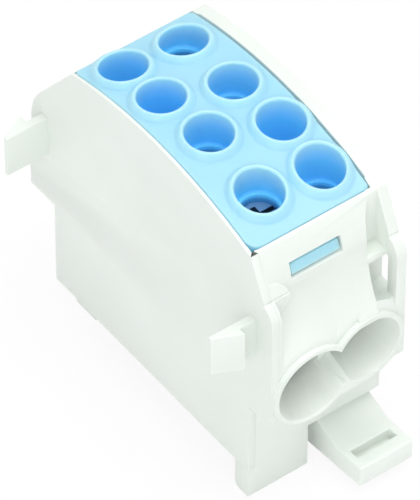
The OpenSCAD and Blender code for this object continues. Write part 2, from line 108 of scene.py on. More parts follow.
@dataclass(frozen=True)
class Plastic:
    """Moulded plastic: a faint flow pattern in colour and a fine eroded skin.

    The colour runs from base to shade with a slow noise, and the skin is a fine
    noise that lifts the surface by a few micrometres. Where a painted hole shade
    is given, the piece's own attribute "depth" blends it in. This is a darker,
    more saturated colour painted where light has crossed the clear plastic more
    than once. A painted glow is added there too, in place of the light that the
    plastic carries down from the deck.
    """

    name: str
    base: Triple
    shade: Triple
    # Painted hole shade: a darker, more saturated colour that the depth attribute blends in
    # down the holes.
    painted_hole_shade: Triple | None = None
    roughness: float = 0.42
    grain_height: float = 0.00002
    grain_scale: float = 2600.0
    scatter: float = 0.12
    scatter_reach: float = 0.0006
    # Colour and strength of a painted glow that rises down the holes, in place of light carried
    # down from the deck.
    painted_glow_colour: Triple = (1.0, 1.0, 1.0)
    painted_glow_strength: float = 0.0
    flow_scale: float = 55.0
    flow_detail: float = 3.0
    flow_range: tuple[float, float] = (0.35, 0.75)
    grain_detail: float = 2.0
    grain_strength: float = 0.25
    smoother: float = 0.05
    rougher: float = 0.06
    refraction: float = 1.5

    def build(self) -> bpy.types.Material:
        """Makes the node material.

        Returns:
            The finished material.
        """
        mat = bpy.data.materials.new(self.name)
        mat.use_nodes = True
        tree = mat.node_tree
        shader = tree.nodes["Principled BSDF"]
        link = tree.links.new
        place = add_node(tree, "ShaderNodeTexCoord")
        flow = add_node(tree, "ShaderNodeTexNoise")
        flow.inputs["Scale"].default_value = self.flow_scale
        flow.inputs["Detail"].default_value = self.flow_detail
        link(place.outputs["Object"], flow.inputs["Vector"])
        blend = add_node(tree, "ShaderNodeMix", data_type="RGBA")
        blend.inputs[6].default_value = (*self.base, 1.0)
        blend.inputs[7].default_value = (*self.shade, 1.0)
        ramp = add_node(tree, "ShaderNodeMapRange")
        ramp.inputs["From Min"].default_value = self.flow_range[0]
        ramp.inputs["From Max"].default_value = self.flow_range[1]
        link(flow.outputs["Fac"], ramp.inputs["Value"])
        link(ramp.outputs["Result"], blend.inputs[0])
        if self.painted_hole_shade is None:
            link(blend.outputs[2], shader.inputs["Base Color"])
        else:
            # Painted hole shade: the depth attribute blends a darker, more saturated colour in
            # down the holes.
            depth = add_node(tree, "ShaderNodeAttribute", attribute_name="depth")
            painted_shade_mix = add_node(tree, "ShaderNodeMix", data_type="RGBA")
            painted_shade_mix.inputs[7].default_value = (*self.painted_hole_shade, 1.0)
            link(depth.outputs["Fac"], painted_shade_mix.inputs[0])
            link(blend.outputs[2], painted_shade_mix.inputs[6])
            link(painted_shade_mix.outputs[2], shader.inputs["Base Color"])
            # Painted glow: emission that rises with depth, standing in for light carried down
            # from the deck.
            glow = add_node(tree, "ShaderNodeMapRange")
            glow.inputs["To Max"].default_value = self.painted_glow_strength
            link(depth.outputs["Fac"], glow.inputs["Value"])
            link(glow.outputs["Result"], shader.inputs["Emission Strength"])
            shader.inputs["Emission Color"].default_value = (*self.painted_glow_colour, 1.0)
        grain = add_node(tree, "ShaderNodeTexNoise")
        grain.inputs["Scale"].default_value = self.grain_scale
        grain.inputs["Detail"].default_value = self.grain_detail
        link(place.outputs["Object"], grain.inputs["Vector"])
        bump = add_node(tree, "ShaderNodeBump")
        bump.inputs["Strength"].default_value = self.grain_strength
        bump.inputs["Distance"].default_value = self.grain_height
        link(grain.outputs["Fac"], bump.inputs["Height"])
        link(bump.outputs["Normal"], shader.inputs["Normal"])
        sheen = add_node(tree, "ShaderNodeMapRange")
        sheen.inputs["To Min"].default_value = self.roughness - self.smoother
        sheen.inputs["To Max"].default_value = self.roughness + self.rougher
        link(flow.outputs["Fac"], sheen.inputs["Value"])
        link(sheen.outputs["Result"], shader.inputs["Roughness"])
        shader.inputs["IOR"].default_value = self.refraction
        shader.inputs["Subsurface Weight"].default_value = self.scatter
        shader.inputs["Subsurface Radius"].default_value = (1.0, 1.0, 1.0)
        shader.inputs["Subsurface Scale"].default_value = self.scatter_reach
        return mat


@dataclass(frozen=True)
class Metal:
    """Bare or plated metal with fine turning or drawing marks.

    The marks are a noise stretched along one axis, which changes the roughness
    and lifts the surface slightly.
    """

    name: str
    base: Triple
    shade: Triple
    roughness: float = 0.32
    stretch: Triple = (1.0, 1.0, 12.0)
    mark_scale: float = 900.0
    mark_detail: float = 4.0
    mark_strength: float = 0.3
    mark_height: float = 0.00002
    smoother: float = 0.1
    rougher: float = 0.12

    def build(self) -> bpy.types.Material:
        """Makes the node material.

        Returns:
            The finished material.
        """
        mat = bpy.data.materials.new(self.name)
        mat.use_nodes = True
        tree = mat.node_tree
        shader = tree.nodes["Principled BSDF"]
        link = tree.links.new
        place = add_node(tree, "ShaderNodeTexCoord")
        turn = add_node(tree, "ShaderNodeMapping")
        turn.inputs["Scale"].default_value = self.stretch
        link(place.outputs["Object"], turn.inputs["Vector"])
        marks = add_node(tree, "ShaderNodeTexNoise")
        marks.inputs["Scale"].default_value = self.mark_scale
        marks.inputs["Detail"].default_value = self.mark_detail
        link(turn.outputs["Vector"], marks.inputs["Vector"])
        blend = add_node(tree, "ShaderNodeMix", data_type="RGBA")
        blend.inputs[6].default_value = (*self.base, 1.0)
        blend.inputs[7].default_value = (*self.shade, 1.0)
        link(marks.outputs["Fac"], blend.inputs[0])
        link(blend.outputs[2], shader.inputs["Base Color"])
        rough = add_node(tree, "ShaderNodeMapRange")
        rough.inputs["To Min"].default_value = self.roughness - self.smoother
        rough.inputs["To Max"].default_value = self.roughness + self.rougher
        link(marks.outputs["Fac"], rough.inputs["Value"])
        link(rough.outputs["Result"], shader.inputs["Roughness"])
        bump = add_node(tree, "ShaderNodeBump")
        bump.inputs["Strength"].default_value = self.mark_strength
        bump.inputs["Distance"].default_value = self.mark_height
        link(marks.outputs["Fac"], bump.inputs["Height"])
        link(bump.outputs["Normal"], shader.inputs["Normal"])
        shader.inputs["Metallic"].default_value = 1.0
        return mat


# ---------------------------------------------------------------- mesh tools


def piece(
    name: str,
    points: np.ndarray,
    faces: list[list[int]] | np.ndarray,
    material: bpy.types.Material,
    sharp_deg: float = SHARP_DEG,
) -> bpy.types.Object:
    """Makes an object from points in millimetres and faces.

    Args:
        name: name of the piece.
        points: array of shape (n, 3), in millimetres.
        faces: corner indices of each face.
        material: finish of the piece.
        sharp_deg: edges that bend more than this many degrees stay sharp.

    Returns:
        The new object, linked to the scene.
    """
    mesh = bpy.data.meshes.new(name)
    mesh.from_pydata((points * MM).tolist(), [], [list(map(int, f)) for f in faces])
    mesh.validate()
    obj = bpy.data.objects.new(name, mesh)
    bpy.context.scene.collection.objects.link(obj)
    mesh.materials.append(material)
    merge_and_smooth(obj, sharp_deg)
    return obj


def merge_and_smooth(obj: bpy.types.Object, sharp_deg: float = SHARP_DEG) -> None:
    """Joins points that lie together, turns faces outward and smooths the shading.

    Args:
        obj: the mesh object.
        sharp_deg: edges that bend more than this many degrees stay sharp.
    """
    work = bmesh.new()
    work.from_mesh(obj.data)
    bmesh.ops.remove_doubles(work, verts=work.verts, dist=MERGE_REACH)
    bmesh.ops.recalc_face_normals(work, faces=work.faces)
    work.to_mesh(obj.data)
    work.free()
    smooth_shading(obj, sharp_deg)


def smooth_shading(obj: bpy.types.Object, sharp_deg: float = SHARP_DEG) -> None:
    """Shades an object smooth, except at edges that bend more than an angle."""
    obj.data.shade_smooth()
    obj.data.set_sharp_from_angle(angle=math.radians(sharp_deg))


def cad_copy(name: str, node: str, material: bpy.types.Material) -> bpy.types.Object:
    """A copy of a CAD node with a finish of its own, linked to the scene."""
    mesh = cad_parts[node].data.copy()
    mesh.name = name
    obj = bpy.data.objects.new(name, mesh)
    bpy.context.scene.collection.objects.link(obj)
    mesh.materials.clear()
    mesh.materials.append(material)
    return obj


def rounded_copy(
    name: str,
    node: str,
    material: bpy.types.Material,
    width: float,
    segments: int = 3,
    cuts: tuple[Box, ...] = (),
) -> bpy.types.Object:
    """A copy of a CAD node with its edges rounded, as a mould leaves them.

    Args:
        name: name of the copy.
        node: CAD node to copy.
        material: finish of the copy.
        width: width of the rounding, in millimetres.
        segments: faces across a rounding.
        cuts: lower and upper corners of boxes that are cut away first.

    Returns:
        The copy, which isn't declared as a replacement yet.
    """
    obj = cad_copy(name, node, material)
    work = bmesh.new()
    work.from_mesh(obj.data)
    bmesh.ops.remove_doubles(work, verts=work.verts, dist=MERGE_REACH)
    bmesh.ops.dissolve_limit(
        work, angle_limit=math.radians(FLAT_DEG), verts=work.verts, edges=work.edges
    )
    work.to_mesh(obj.data)
    work.free()
    for low, high in cuts:
        cut_away(obj, box_piece(low, high, material))
    soften(obj, width, segments)
    return obj


def box_piece(low: Triple, high: Triple, material: bpy.types.Material) -> bpy.types.Object:
    """A box between two corners in millimetres."""
    ring = [(low[0], low[1]), (high[0], low[1]), (high[0], high[1]), (low[0], high[1])]
    points = np.array([(x, y, z) for z in (low[2], high[2]) for x, y in ring])
    return piece("box_tool", points, capped_faces(2, len(ring)), material)


def cut_away(obj: bpy.types.Object, tool: bpy.types.Object) -> None:
    """Cuts one object out of another and removes the tool."""
    cut = obj.modifiers.new("cut", "BOOLEAN")
    cut.object = tool
    cut.operation = "DIFFERENCE"
    cut.solver = "EXACT"
    apply_modifiers(obj)
    bpy.data.objects.remove(tool)


def soften(obj: bpy.types.Object, width: float, segments: int = 3) -> None:
    """Rounds the edges of an object by a width in millimetres."""
    bevel = obj.modifiers.new("soft_edges", "BEVEL")
    bevel.width = width * MM
    bevel.segments = segments
    bevel.limit_method = "ANGLE"
    bevel.angle_limit = math.radians(BEVEL_DEG)
    apply_modifiers(obj)
    smooth_shading(obj)


def apply_modifiers(obj: bpy.types.Object) -> None:
    """Writes the result of an object's modifiers into its mesh and removes them."""
    graph = bpy.context.evaluated_depsgraph_get()
    graph.update()
    done = bpy.data.meshes.new_from_object(obj.evaluated_get(graph))
    obj.modifiers.clear()
    obj.data = done


def ring_faces(rows: int, count: int, closed: bool = False) -> np.ndarray:
    """Four-cornered faces between round rows of points.

    Args:
        rows: number of rows.
        count: points in each row.
        closed: whether the last row meets the first.

    Returns:
        Array of shape (faces, 4).
    """
    last = rows if closed else rows - 1
    row, col = np.meshgrid(np.arange(last), np.arange(count), indexing="ij")
    ahead = (row + 1) % rows
    side = (col + 1) % count
    return np.stack([
        row * count + col, row * count + side, ahead * count + side, ahead * count + col,
    ], axis=-1).reshape(-1, 4)


def capped_faces(rows: int, count: int) -> list[list[int]]:
    """Faces of a tube of round rows with a flat cap at each end."""
    last = (rows - 1) * count
    sides = [list(face) for face in ring_faces(rows, count)]
    return [*sides, list(range(count))[::-1], list(range(last, last + count))]


# ---------------------------------------------------------------- screw cover


@dataclass
class Clamp:
    """One screw with the hole over it.

    Attributes:
        x: place across the block, in millimetres.
        y: place from front to rear, in millimetres.
        size: size of the clamp.
        node: name of the CAD node of the screw.
    """

    x: float
    y: float
    size: Size
    node: str


def find_clamps() -> list[Clamp]:
    """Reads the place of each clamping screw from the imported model.

    Returns:
        One entry for each screw, in the order of their names.
    """
    found = []
    for node in sorted(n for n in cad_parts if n.startswith(("screw_large", "screw_small"))):
        low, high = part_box(node)
        size = Size.LARGE if "large" in node else Size.SMALL
        x, y = (low.x + high.x) / 2 / MM, (low.y + high.y) / 2 / MM
        found.append(Clamp(x, y, size, node))
    return found


@dataclass
class ScrewCover:
    """The arched cover with a collar and a tube for each screw.

    The top is an arch, z = top - R + sqrt(R^2 - (y - middle)^2), plus a collar
    around each hole that falls off in a soft step at its outer radius. Each hole
    owns the part of the deck that lies nearer to it than to any other hole.
    """

    top_h: float = 46.4
    arch_r: float = 64.0
    arch_y: float = 1.6
    left_x: float = -10.5
    right_x: float = 8.85
    front_y: float = -19.95
    rear_y: float = 19.2
    corner_r: tuple[float, ...] = (0.7, 0.7, 0.7, 1.9)
    deck_t: float = 1.6
    edge_r: float = 0.22
    hole_r: float = 3.35
    ring_r: float = 2.75
    ring_t: float = 0.8
    rim_r: float = 4.25
    rim_h: float = 0.9
    rim_round: float = 0.6
    lip_round: float = 0.35
    tube_foot_h: float = 30.9
    ring_h: dict[Size, float] = field(
        default_factory=lambda: {Size.LARGE: 41.6, Size.SMALL: 39.1}
    )
    ring_round: float = 0.12
    ring_crease: float = 0.01
    rim_fall: float = 1.7
    lip_gap: float = 0.02
    tube_band: float = 3.0
    collar_start: float = 0.06
    step: float = 0.3
    corner_rows: int = 6
    lip_rows: int = 6
    collar_rows: int = 14
    deck_rows: int = 5
    deck_start: float = 0.2
    edge_rows: int = 5
    tongue_x0: float = -5.7
    tongue_x1: float = 2.2
    tongue_t: float = 0.9
    tongue_foot_h: float = 37.1
    tongue_top_h: float = 41.2
    lug_foot_h: float = 37.25
    lug_top_h: float = 38.65
    lug_front_l: tuple[float, float] = (2.45, 1.85)
    lug_rear_l: tuple[float, float] = (1.4, 0.9)
    tongue_round: float = 0.12
    # Where the painted hole shade and painted glow start over the deck, and how far below it
    # they reach full strength.
    painted_shade_start: float = 0.6
    painted_shade_reach: float = 4.0
    clamps: list[Clamp] = field(default_factory=find_clamps)

    def arch(self, y: np.ndarray) -> np.ndarray:
        """Height of the deck at a distance y from the middle."""
        return self.top_h - self.arch_r + np.sqrt(self.arch_r**2 - (y - self.arch_y) ** 2)

    def collars(self, x: np.ndarray, y: np.ndarray) -> np.ndarray:
        """Height of the collars over the deck.

        Each collar is full up to its rounding and falls off by a cosine step that
        is rim_fall roundings wide. Collars that touch run together: one minus the
        product of what each leaves.

        Args:
            x: places across.
            y: places along.

        Returns:
            The height over the deck, in millimetres.
        """
        left = np.ones_like(x)
        fall_l = self.rim_fall * self.rim_round
        for clamp in self.clamps:
            far = np.hypot(x - clamp.x, y - clamp.y)
            fall = np.clip((far - self.rim_r + self.rim_round) / fall_l, 0.0, 1.0)
            left = left * (1.0 - 0.5 * (1.0 + np.cos(np.pi * fall)))
        return self.rim_h * (1.0 - left)

    def outline(self) -> np.ndarray:
        """Outline of the deck, inside its edge rounding, counter-clockwise."""
        x0, x1 = self.left_x + self.edge_r, self.right_x - self.edge_r
        y0, y1 = self.front_y + self.edge_r, self.rear_y - self.edge_r
        turn = np.linspace(0.0, np.pi / 2, self.corner_rows)
        corners = [(x1, y0, -1, 1), (x1, y1, -1, -1), (x0, y1, 1, -1), (x0, y0, 1, 1)]
        parts = []
        for number, (x, y, side, ahead) in enumerate(corners):
            r = self.corner_r[number] - self.edge_r
            a = turn + (number - 1) * np.pi / 2
            parts.append(np.column_stack([
                x + side * r + r * np.cos(a), y + ahead * r + r * np.sin(a)]))
        return np.vstack(parts)

    @staticmethod
    def clip(outline: np.ndarray, point: np.ndarray, normal: np.ndarray) -> np.ndarray:
        """Keeps the part of a convex outline that lies behind a line.

        Args:
            outline: corners of the outline, in order.
            point: a point on the line.
            normal: points away from the part that is kept.

        Returns:
            The corners of what is kept, in order.
        """
        depth = (outline - point) @ normal
        kept: list[np.ndarray] = []
        ahead_of, depth_of = np.roll(outline, -1, 0), np.roll(depth, -1)
        for here, ahead, d0, d1 in zip(outline, ahead_of, depth, depth_of):
            if d0 <= 0:
                kept.append(here)
            if (d0 < 0 < d1) or (d1 < 0 < d0):
                kept.append(here + (ahead - here) * d0 / (d0 - d1))
        return np.array(kept)

    def cell(self, clamp: Clamp) -> np.ndarray:
        """Points around the part of the deck that one hole owns, evenly spaced.

        Args:
            clamp: the clamp under the hole.

        Returns:
            Array of shape (n, 2), counter-clockwise.
        """
        shape = self.outline()
        own = np.array([clamp.x, clamp.y])
        for other in self.clamps:
            if other is clamp:
                continue
            there = np.array([other.x, other.y])
            away = (there - own) / np.linalg.norm(there - own)
            shape = self.clip(shape, (own + there) / 2, away)
        points = []
        for here, ahead in zip(shape, np.roll(shape, -1, 0)):
            steps = float(np.linalg.norm(ahead - here)) / self.step
            count = max(1, math.ceil(round(steps, 4)))
            part = np.arange(count)[:, None] / count
            points.append(here + (ahead - here) * part)
        return np.vstack(points)

    def patch(self, clamp: Clamp) -> tuple[np.ndarray, np.ndarray]:
        """The surface of one hole, its tube and its part of the deck.

        The surface is a profile carried around the hole: up inside the tube, over
        the ring and the lip, out over the deck to the cell's border, and back on
        the underside down the outside of the tube.

        Args:
            clamp: the clamp under the hole.

        Returns:
            The points and the faces.
        """
        border = self.cell(clamp)
        ray = border - np.array([clamp.x, clamp.y])
        reach = np.hypot(ray[:, 0], ray[:, 1])
        way = ray / reach[:, None]
        ring_h = self.ring_h[clamp.size]
        ring_foot = ring_h - self.ring_t
        soft = self.ring_round
        rows: list[np.ndarray] = []

        def level(radius: float, height: float) -> None:
            """Adds a round row at a fixed height."""
            rows.append(np.column_stack([
                clamp.x + way[:, 0] * radius, clamp.y + way[:, 1] * radius,
                np.full(len(way), height)]))

        def draped(radius: np.ndarray, drop: float, lift: bool) -> None:
            """Adds a row that follows the arch, with or without the collars."""
            x = clamp.x + way[:, 0] * radius
            y = clamp.y + way[:, 1] * radius
            z = self.arch(y) - drop + (self.collars(x, y) if lift else 0.0)
            rows.append(np.column_stack([x, y, z]))

        level(self.hole_r, self.tube_foot_h)
        for h in (self.tube_foot_h + self.tube_band, ring_foot - self.ring_crease, ring_foot):
            level(self.hole_r, h)
        level(self.ring_r + soft, ring_foot)
        level(self.ring_r, ring_foot + soft)
        level(self.ring_r, ring_h - soft)
        level(self.ring_r + soft * 0.3, ring_h - soft * 0.3)
        level(self.ring_r + soft, ring_h)
        level(self.hole_r - soft, ring_h)
        level(self.hole_r, ring_h + soft)
        for part in (0.0, 0.5):
            base = ring_h + 2 * soft
            x = clamp.x + way[:, 0] * self.hole_r
            y = clamp.y + way[:, 1] * self.hole_r
            lip = self.arch(y) + self.rim_h - self.lip_round - self.lip_gap
            rows.append(np.column_stack([x, y, base + (lip - base) * part]))
        for angle in np.linspace(0.0, np.pi / 2, self.lip_rows):
            out = self.lip_round * (1.0 - math.cos(angle))
            drop = self.lip_round * (1.0 - math.sin(angle))
            draped(np.full(len(way), self.hole_r + out), drop, True)
        inner = self.hole_r + self.lip_round
        outer = self.rim_r + self.rim_round
        stops = np.linspace(inner + self.collar_start, outer, self.collar_rows)
        for stop in stops:
            draped(np.minimum(stop, reach), 0.0, True)
        start = np.minimum(stops[-1], reach)
        for part in np.linspace(self.deck_start, 1.0, self.deck_rows):
            draped(start + (reach - start) * part, 0.0, True)
        border_row = len(rows) - 1
        draped(reach, self.deck_t, False)
        start = np.minimum(self.rim_r, reach)
        draped(start + (reach - start) * 0.5, self.deck_t, False)
        draped(start, self.deck_t, False)
        level(self.rim_r, self.tube_foot_h + self.tube_band)
        level(self.rim_r, self.tube_foot_h)
        count = len(way)
        faces = ring_faces(len(rows), count, closed=True)
        inside = np.arange(len(faces)) // count != border_row
        return np.vstack(rows), faces[inside]

    def tongue(
        self,
        name: str,
        edge: float,
        out: float,
        foot_l: float,
        top_l: float,
        finish: bpy.types.Material,
    ) -> bpy.types.Object:
        """A latch tongue that shows in the slot of an end face.

        A profile of the tongue and its sloping lug is carried across the block.

        Args:
            name: name of the tongue.
            edge: place of its outer face along the block.
            out: -1 at the front and 1 at the rear.
            foot_l: how far the lug stands out at its foot.
            top_l: how far it stands out at its top.
            finish: material of the cover.

        Returns:
            The tongue.
        """
        back = edge - out * self.tongue_t
        profile = np.array([
            (back, self.tongue_foot_h), (back, self.tongue_top_h), (edge, self.tongue_top_h),
            (edge, self.lug_top_h), (edge + out * top_l, self.lug_top_h),
            (edge + out * foot_l, self.lug_foot_h), (edge, self.lug_foot_h),
            (edge, self.tongue_foot_h),
        ])
        ends = (self.tongue_x0, self.tongue_x1)
        points = np.vstack([
            np.column_stack([np.full(len(profile), x), profile]) for x in ends
        ])
        obj = piece(name, points, capped_faces(2, len(profile)), finish)
        soften(obj, self.tongue_round)
        return obj

    def skirt(self) -> tuple[np.ndarray, np.ndarray]:
        """The rounded edge around the deck: a quarter round, then straight down.

        Returns:
            The points and the faces.
        """
        loops = [self.cell(c) for c in self.clamps]
        cloud = np.vstack(loops)
        outline = self.outline()
        keep = np.zeros(len(cloud), dtype=bool)
        for here, ahead in zip(outline, np.roll(outline, -1, 0)):
            side = ahead - here
            length = np.linalg.norm(side)
            if length < TOUCH * MM:
                continue
            along = (cloud - here) @ side / length
            off = np.abs((cloud - here) @ np.array([side[1], -side[0]]) / length)
            keep |= (off < TOUCH) & (along > -TOUCH) & (along < length + TOUCH)
        ring = np.unique(np.round(cloud[keep], 6), axis=0)
        middle = ring.mean(0)
        ring = ring[np.argsort(np.arctan2(ring[:, 1] - middle[1], ring[:, 0] - middle[0]))]
        side = np.roll(ring, -1, 0) - np.roll(ring, 1, 0)
        out = np.column_stack([side[:, 1], -side[:, 0]]) / np.linalg.norm(side, axis=1)[:, None]
        rows = []
        top = self.arch(ring[:, 1]) + self.collars(ring[:, 0], ring[:, 1])
        for angle in np.linspace(0.0, np.pi / 2, self.edge_rows):
            place = ring + out * self.edge_r * math.sin(angle)
            rows.append(np.column_stack([place, top - self.edge_r * (1.0 - math.cos(angle))]))
        edge = ring + out * self.edge_r
        under = self.arch(ring[:, 1]) - self.deck_t
        rows.append(np.column_stack([edge, under]))
        rows.append(np.column_stack([ring, under]))
        return np.vstack(rows), ring_faces(len(rows), len(ring))

    def build(self, finish: bpy.types.Material) -> bpy.types.Object:
        """Builds the cover and puts it in the place of its CAD node.

        Args:
            finish: material of the cover.

        Returns:
            The cover.
        """
        points: list[np.ndarray] = []
        faces: list[np.ndarray] = []
        start = 0
        for part, sides in [*(self.patch(c) for c in self.clamps), self.skirt()]:
            points.append(part)
            faces.append(sides + start)
            start += len(part)
        shell = piece("screw_cover_shell", np.vstack(points), np.vstack(faces), finish)
        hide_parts("screw_cover")
        # Mask of the painted hole shade and painted glow down the holes; the tongues get
        # neither.
        self.mark_depth(shell)
        tongues = [
            self.tongue("cover_tongue_front", self.front_y, -1.0, *self.lug_front_l, finish),
            self.tongue("cover_tongue_rear", self.rear_y, 1.0, *self.lug_rear_l, finish),
        ]
        for obj in (shell, *tongues):
            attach(obj, Body.BASE.value)
        return shell

    def mark_depth(self, obj: bpy.types.Object) -> None:
        """Writes how far under the deck each point lies, as the mask of the painted hole shade
        and the painted glow.

        The value is zero on the deck and rises with a smooth step to one at
        painted_shade_reach below it.

        Args:
            obj: the shell of the cover.
        """
        mesh = obj.data
        flat = np.empty(len(mesh.vertices) * 3, dtype=np.float32)
        mesh.vertices.foreach_get("co", flat)
        place = flat.reshape(-1, 3) / MM
        under = self.arch(place[:, 1]) + self.painted_shade_start - place[:, 2]
        part = np.clip(under / self.painted_shade_reach, 0.0, 1.0)
        layer = mesh.attributes.new("depth", "FLOAT", "POINT")
        layer.data.foreach_set("value", (part * part * (3.0 - 2.0 * part)).astype(np.float32))


# ---------------------------------------------------------------- metal parts


@dataclass
class ClampScrews:
    """The eight headless screws with their threads and drive recesses.

    The side of a screw is a grid over the angle a and the height z, with
    radius = R - depth * (1 + cos(2 pi (z / pitch) - a)) / 2, and both ends are
    chamfered at 45 degrees. A slot and a shorter cross slot are cut into the top.
    """

    thread_depth: float = 0.42
    pitch: float = 1.0
    chamfer: float = 0.55
    inset: float = 0.02
    around: int = 72
    row_h: float = 0.125
    slot_l: float = 4.8
    cross_l: float = 3.3
    slot_w: float = 0.8
    slot_depth: float = 1.6
    recess_taper: float = 0.16
    recess_over: float = 0.3

    def blank(self, radius: float, height: float) -> tuple[np.ndarray, list[list[int]]]:
        """A threaded rod from z = 0 up, without its recess.

        Args:
            radius: radius over the crests, in millimetres.
            height: length of the rod.

        Returns:
            The points and the faces.
        """
        z = np.linspace(0.0, height, int(height / self.row_h) + 1)
        a = np.linspace(0.0, 2 * np.pi, self.around, endpoint=False)
        zz, aa = np.meshgrid(z, a, indexing="ij")
        groove = self.thread_depth * (1.0 + np.cos(2 * np.pi * zz / self.pitch - aa)) / 2
        ends = radius - self.chamfer + np.minimum(zz, height - zz)
        r = np.minimum(radius - groove, ends)
        side = np.stack([r * np.cos(aa), r * np.sin(aa), zz], axis=-1).reshape(-1, 3)
        return side, capped_faces(len(z), self.around)

    def recess(self, top: float) -> tuple[np.ndarray, list[list[int]]]:
        """The tool that cuts the drive: a long and a short slot with sloping sides.

        Args:
            top: height of the screw's top.

        Returns:
            The points and the faces of the twelve-cornered prism.
        """
        def ring(height: float, grow: float) -> np.ndarray:
            """The cross at one height, grown by a margin."""
            w, x, y = self.slot_w / 2 + grow, self.slot_l / 2 + grow, self.cross_l / 2 + grow
            quarter = [(x, w), (w, w), (w, y), (-w, y), (-w, w), (-x, w)]
            cross = quarter + [(-px, -py) for px, py in quarter]
            return np.column_stack([np.array(cross), np.full(len(cross), height)])

        slope = self.recess_taper / self.slot_depth
        low = ring(top - self.slot_depth, -self.recess_taper)
        high = ring(top + self.recess_over, slope * self.recess_over)
        return np.vstack([low, high]), capped_faces(2, len(low))

    def build(self, clamps: list[Clamp], finish: bpy.types.Material) -> list[bpy.types.Object]:
        """Builds each screw in the place of its CAD node.

        Args:
            clamps: the clamps that the screws belong to.
            finish: their metal.

        Returns:
            The screws.
        """
        made = []
        for clamp in clamps:
            low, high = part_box(clamp.node)
            radius = (high.x - low.x) / 2 / MM - self.inset
            height = (high.z - low.z) / MM
            here = np.array([clamp.x, clamp.y, low.z / MM])
            points, faces = self.blank(radius, height)
            screw = piece(clamp.node + "_turned", points + here, faces, finish)
            points, faces = self.recess(height)
            tool = piece("recess_tool", points + here, faces, finish)
            cut_away(screw, tool)
            smooth_shading(screw)
            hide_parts(clamp.node)
            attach(screw, clamp.node)
            made.append(screw)
        return made


@dataclass
class ConductorBlock:
    """The metal block, drawn bar with bores, its edges broken."""

    edge: float = 0.18

    def build(self, finish: bpy.types.Material) -> bpy.types.Object:
        """Builds the block in the place of its CAD node."""
        obj = rounded_copy("conductor_block_bar", "conductor_block", finish, self.edge, 2)
        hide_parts("conductor_block")
        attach(obj, Body.BASE.value)
        return obj


@dataclass
class SlideSpring:
    """The coil spring behind the slide. The real spring shortens as the slide is pulled; this
    copy stays fixed on the base.
    """

    joint: str = "slide_pull"
    travel: float = 3.0
    fixed_y: float = -15.0

    def build(self, finish: bpy.types.Material) -> bpy.types.Object:
        """Builds the spring in the place of its CAD node.

        Args:
            finish: its metal.

        Returns:
            The spring.
        """
        obj = cad_copy("slide_spring_coil", "slide_spring", finish)
        merge_and_smooth(obj)
        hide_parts("slide_spring")
        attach(obj, Body.BASE.value)
        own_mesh(obj)
        return obj


# ---------------------------------------------------------------- mouldings


@dataclass
class Mouldings:
    """Housing, side plate and rail slide, with soft edges."""

    edge: float = 0.28
    slot_low: Triple = (-5.95, -26.0, 36.75)
    slot_high: Triple = (2.45, -20.3, 39.3)
    pocket_x: tuple[float, float] = (-10.58, 8.93)
    pocket_y: tuple[float, float] = (-20.03, 19.28)
    pocket_floor_h: tuple[float, float] = (41.4, 42.6)
    corner_l: float = 1.4
    over_h: float = 50.0

    def wall_cuts(self) -> tuple[Box, ...]:
        """Boxes cut from the walls: a taller latch slot and square pocket corners."""
        cuts = [(self.slot_low, self.slot_high)]
        for x, side in zip(self.pocket_x, (1.0, -1.0)):
            for y, ahead, floor in zip(self.pocket_y, (1.0, -1.0), self.pocket_floor_h):
                xs = sorted((x, x + side * self.corner_l))
                ys = sorted((y, y + ahead * self.corner_l))
                cuts.append(((xs[0], ys[0], floor), (xs[1], ys[1], self.over_h)))
        return tuple(cuts)

    def build(self, finish: bpy.types.Material) -> list[bpy.types.Object]:
        """Builds the three mouldings.

        Args:
            finish: their plastic.

        Returns:
            The pieces.
        """
        made = []
        for node, body in (
            ("housing", Body.BASE), ("side_plate", Body.BASE), ("rail_slide", Body.SLIDE),
        ):
            cuts = self.wall_cuts() if body is Body.BASE else ()
            obj = rounded_copy(node + "_shell", node, finish, self.edge, cuts=cuts)
            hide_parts(node)
            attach(obj, body.value)
            made.append(obj)
        return made


@dataclass
class Entry:
    """One cable entry with its collar.

    Attributes:
        x: place of its axis across the block, in millimetres.
        h: height of its axis.
        bore_r: radius of the throat.
        mouth_r: radius of the mouth.
        rim_t: thickness of the collar around the mouth.
    """

    x: float
    h: float
    bore_r: float
    mouth_r: float
    rim_t: float = 0.7

    @property
    def collar_r(self) -> float:
        """Radius of the collar around the mouth."""
        return self.mouth_r + self.rim_t


